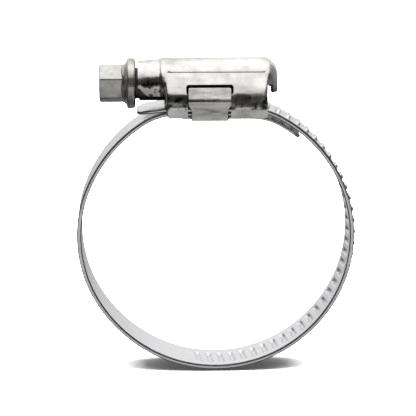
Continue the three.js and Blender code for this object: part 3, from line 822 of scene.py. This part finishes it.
def housing_shell():
    piece = lay_grid("screw_housing_shell", len(stations) - 1, len(section) - 1, housing_skin)
    columns = len(stations) - 1
    mesh = piece.data
    crossing = [(i % (columns + 1), i // (columns + 1)) for i in range(len(mesh.vertices))]
    mesh.vertices.foreach_set("select", [False] * len(mesh.vertices))
    mesh.edges.foreach_set("select", [False] * len(mesh.edges))
    for polygon in mesh.polygons:
        columns_here = [crossing[v][0] for v in polygon.vertices]
        rows_here = [crossing[v][1] for v in polygon.vertices]
        left, right = stations[min(columns_here)], stations[max(columns_here)]
        low = min(section[r][1] for r in rows_here)
        high = max(section[r][1] for r in rows_here)
        window = left >= WINDOW_LEFT - 0.01 and right <= WINDOW_RIGHT + 0.01 and high <= WINDOW_TOP + 0.01
        under_collar = right <= BODY_LEFT_END + 0.01 and low < COLLAR_DROP - 0.45
        under_cap = left >= BODY_RIGHT_END - 0.01 and low < CAP_WALL_FOOT
        notch = left >= BODY_RIGHT_END - 0.01 and right <= 11.4 and high < 0.5
        polygon.select = window or under_collar or under_cap or notch
        # the crease's faces take the near-black steel: a painted shadow line along the crease
        crease = low > CREASE_LOW and high < CREASE_HIGH and left >= -9.8 and right <= 9.9
        polygon.material_index = int(crease)
    bpy.context.view_layer.objects.active = piece
    bpy.context.tool_settings.mesh_select_mode = (False, False, True)
    bpy.ops.object.mode_set(mode="EDIT")
    bpy.ops.mesh.delete(type="FACE")
    bpy.ops.mesh.select_mode(type="VERT")
    bpy.ops.mesh.select_all(action="DESELECT")
    bpy.ops.object.mode_set(mode="OBJECT")
    for vertex in mesh.vertices:
        vertex.select = vertex.co.x > CAP_END - 0.001
    bpy.ops.object.mode_set(mode="EDIT")
    bpy.ops.mesh.edge_face_add()
    bpy.ops.mesh.select_all(action="SELECT")
    bpy.ops.mesh.normals_make_consistent(inside=False)
    bpy.ops.object.mode_set(mode="OBJECT")
    top = max(mesh.polygons, key=lambda p: p.center.z)
    if top.normal.z < 0:
        edit_all(piece)
        bpy.ops.mesh.flip_normals()
        bpy.ops.object.mode_set(mode="OBJECT")
    piece.data.materials.append(HOUSING_STEEL)
    piece.data.materials.append(SHADED_INNER_STEEL)
    thicken = piece.modifiers.new("sheet", "SOLIDIFY")
    thicken.thickness = SHEET
    # the sheet's inner side takes the second material, the near-black steel of painted shade
    thicken.material_offset = 1
    thicken.offset = -1
    thicken.use_even_offset = False
    round_edges = piece.modifiers.new("edges", "BEVEL")
    round_edges.width = 0.15
    round_edges.segments = 3
    round_edges.limit_method = "ANGLE"
    round_edges.angle_limit = math.radians(55)
    apply_modifiers(piece)
    return piece


# zones of painted dark reflection: the walls' lower band and the collar
WALL_PAINTED_REFLECTION = [("Z", 0.0569, 0.0563), ("Z", 0.0538, 0.0543), ("X", -0.0109, -0.0103)]
COLLAR_PAINTED_REFLECTION = [("X", -0.0106, -0.0113), ("Z", 0.0607, 0.0601)]
HOUSING_STEEL = pressed_steel(
    "pressed_housing_steel",
    (0.50, 0.49, 0.46),
    (0.80, 0.79, 0.76),
    330.0,
    0.00016,
    0.16,
    0.3,
    [WALL_PAINTED_REFLECTION, COLLAR_PAINTED_REFLECTION],
)
housing = housing_shell()
set_down(housing, screw_height)
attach(housing, "housing")
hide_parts("screw_housing")

# ---------------------------------------------------------------- floor
# A plain white sweep. The metal is lit by the studio alone, so the floor doesn't show in it.

bpy.ops.mesh.primitive_plane_add(size=8)
floor = bpy.context.object
floor.name = "studio_floor"
floor.data.transform(Matrix.Translation((0, 0, 0.00005)))
paper = bpy.data.materials.new("white_paper")
paper.use_nodes = True
paper.node_tree.nodes["Principled BSDF"].inputs["Base Color"].default_value = (0.9, 0.9, 0.9, 1)
paper.node_tree.nodes["Principled BSDF"].inputs["Roughness"].default_value = 0.9
paper.node_tree.nodes["Principled BSDF"].inputs["Specular IOR Level"].default_value = 0.0
floor.data.materials.append(paper)
floor.visible_glossy = False

# ---------------------------------------------------------------- studio light
# A large soft light overhead, white walls behind, and a dim room in front that gives the metal its darks.

world = bpy.data.worlds.new("studio")
bpy.context.scene.world = world
world.use_nodes = True
nodes, links = world.node_tree.nodes, world.node_tree.links
direction = nodes.new("ShaderNodeTexCoord")
split = nodes.new("ShaderNodeSeparateXYZ")
links.new(direction.outputs["Generated"], split.inputs["Vector"])


def height_ramp(stops):
    """Brightness by height above the horizon, from -1 straight down to 1 straight up."""
    share = nodes.new("ShaderNodeMapRange")
    share.inputs["From Min"].default_value = -1
    share.inputs["From Max"].default_value = 1
    links.new(split.outputs["Z"], share.inputs["Value"])
    ramp = nodes.new("ShaderNodeValToRGB")
    ramp.color_ramp.interpolation = "EASE"
    elements = ramp.color_ramp.elements
    while len(elements) < len(stops):
        elements.new(0.5)
    for element, (height, level) in zip(elements, stops):
        element.position = (height + 1) / 2
        element.color = (level, level, level * 1.01, 1)
    links.new(share.outputs["Result"], ramp.inputs["Fac"])
    return ramp


FRONT_BELOW = [(-1, 0.1), (-0.87, 0.25), (-0.69, 0.5), (-0.5, 0.46), (-0.34, 0.6), (-0.18, 0.85)]
FRONT_LEVEL = [(-0.1, 0.08), (0, 0.03), (0.42, 0.04), (0.57, 0.1)]
FRONT_ABOVE = [(0.68, 1.15), (0.85, 1.35), (1, 1.5)]
front = height_ramp(FRONT_BELOW + FRONT_LEVEL + FRONT_ABOVE)
BEHIND_BELOW = [(-1, 0.1), (-0.7, 0.2), (-0.34, 0.2), (-0.2, 0.52), (-0.1, 0.7)]
BEHIND_ABOVE = [(0, 0.8), (0.2, 1.0), (0.5, 1.1), (1, 1.5)]
behind = height_ramp(BEHIND_BELOW + BEHIND_ABOVE)


def ease(value, low, high, start=0.0, end=1.0):
    """A soft step of one direction component."""
    step = nodes.new("ShaderNodeMapRange")
    step.interpolation_type = "SMOOTHSTEP"
    step.inputs["From Min"].default_value = low
    step.inputs["From Max"].default_value = high
    step.inputs["To Min"].default_value = start
    step.inputs["To Max"].default_value = end
    links.new(value, step.inputs["Value"])
    return step.outputs["Result"]


def combine(operation, first, second):
    node = nodes.new("ShaderNodeMath")
    node.operation = operation
    links.new(first, node.inputs[0])
    links.new(second, node.inputs[1])
    return node.outputs["Value"]


blend = nodes.new("ShaderNodeMix")
blend.data_type = "RGBA"
links.new(ease(split.outputs["Y"], -0.45, 0.25), blend.inputs["Factor"])
links.new(front.outputs["Color"], blend.inputs[6])
links.new(behind.outputs["Color"], blend.inputs[7])
sideways = nodes.new("ShaderNodeMath")
sideways.operation = "ABSOLUTE"
links.new(split.outputs["X"], sideways.inputs[0])
to_side = ease(sideways.outputs["Value"], 0.45, 0.75)
not_above = ease(split.outputs["Z"], 0.8, 0.5)
dimmed = ease(combine("MULTIPLY", to_side, not_above), 0.0, 1.0, 1.0, 0.3)
links.new(blend.outputs[2], nodes["Background"].inputs["Color"])
links.new(dimmed, nodes["Background"].inputs["Strength"])

softbox = bpy.data.lights.new("overhead_softbox", "AREA")
softbox.shape = "RECTANGLE"
softbox.size = 0.8
softbox.size_y = 0.6
softbox.energy = 22.0
softbox_object = bpy.data.objects.new("overhead_softbox", softbox)
softbox_object.location = (0.0, 0.0, 0.55)
softbox_object.visible_glossy = False
bpy.context.scene.collection.objects.link(softbox_object)

# ---------------------------------------------------------------- camera
# A long lens, a little above the object and a touch to its left.

CAMERA_TURN_DEG = -1.8
CAMERA_RISE_DEG = 11.7
CAMERA_DISTANCE = 0.45
turn, rise = math.radians(CAMERA_TURN_DEG), math.radians(CAMERA_RISE_DEG)
aim = (-0.00149, 0.0, 0.0328)
back = (math.sin(turn) * math.cos(rise), -math.cos(turn) * math.cos(rise), math.sin(rise))
lens = bpy.data.cameras.new("camera")
lens.lens = 191.4
lens.sensor_width = 36
lens.clip_start = 0.01
lens.clip_end = 20
camera = bpy.data.objects.new("camera", lens)
camera.location = [a + CAMERA_DISTANCE * b for a, b in zip(aim, back)]
camera.rotation_euler = (math.pi / 2 - rise, 0, turn)
bpy.context.scene.collection.objects.link(camera)
bpy.context.scene.camera = camera
bpy.context.scene.view_settings.view_transform = "Standard"
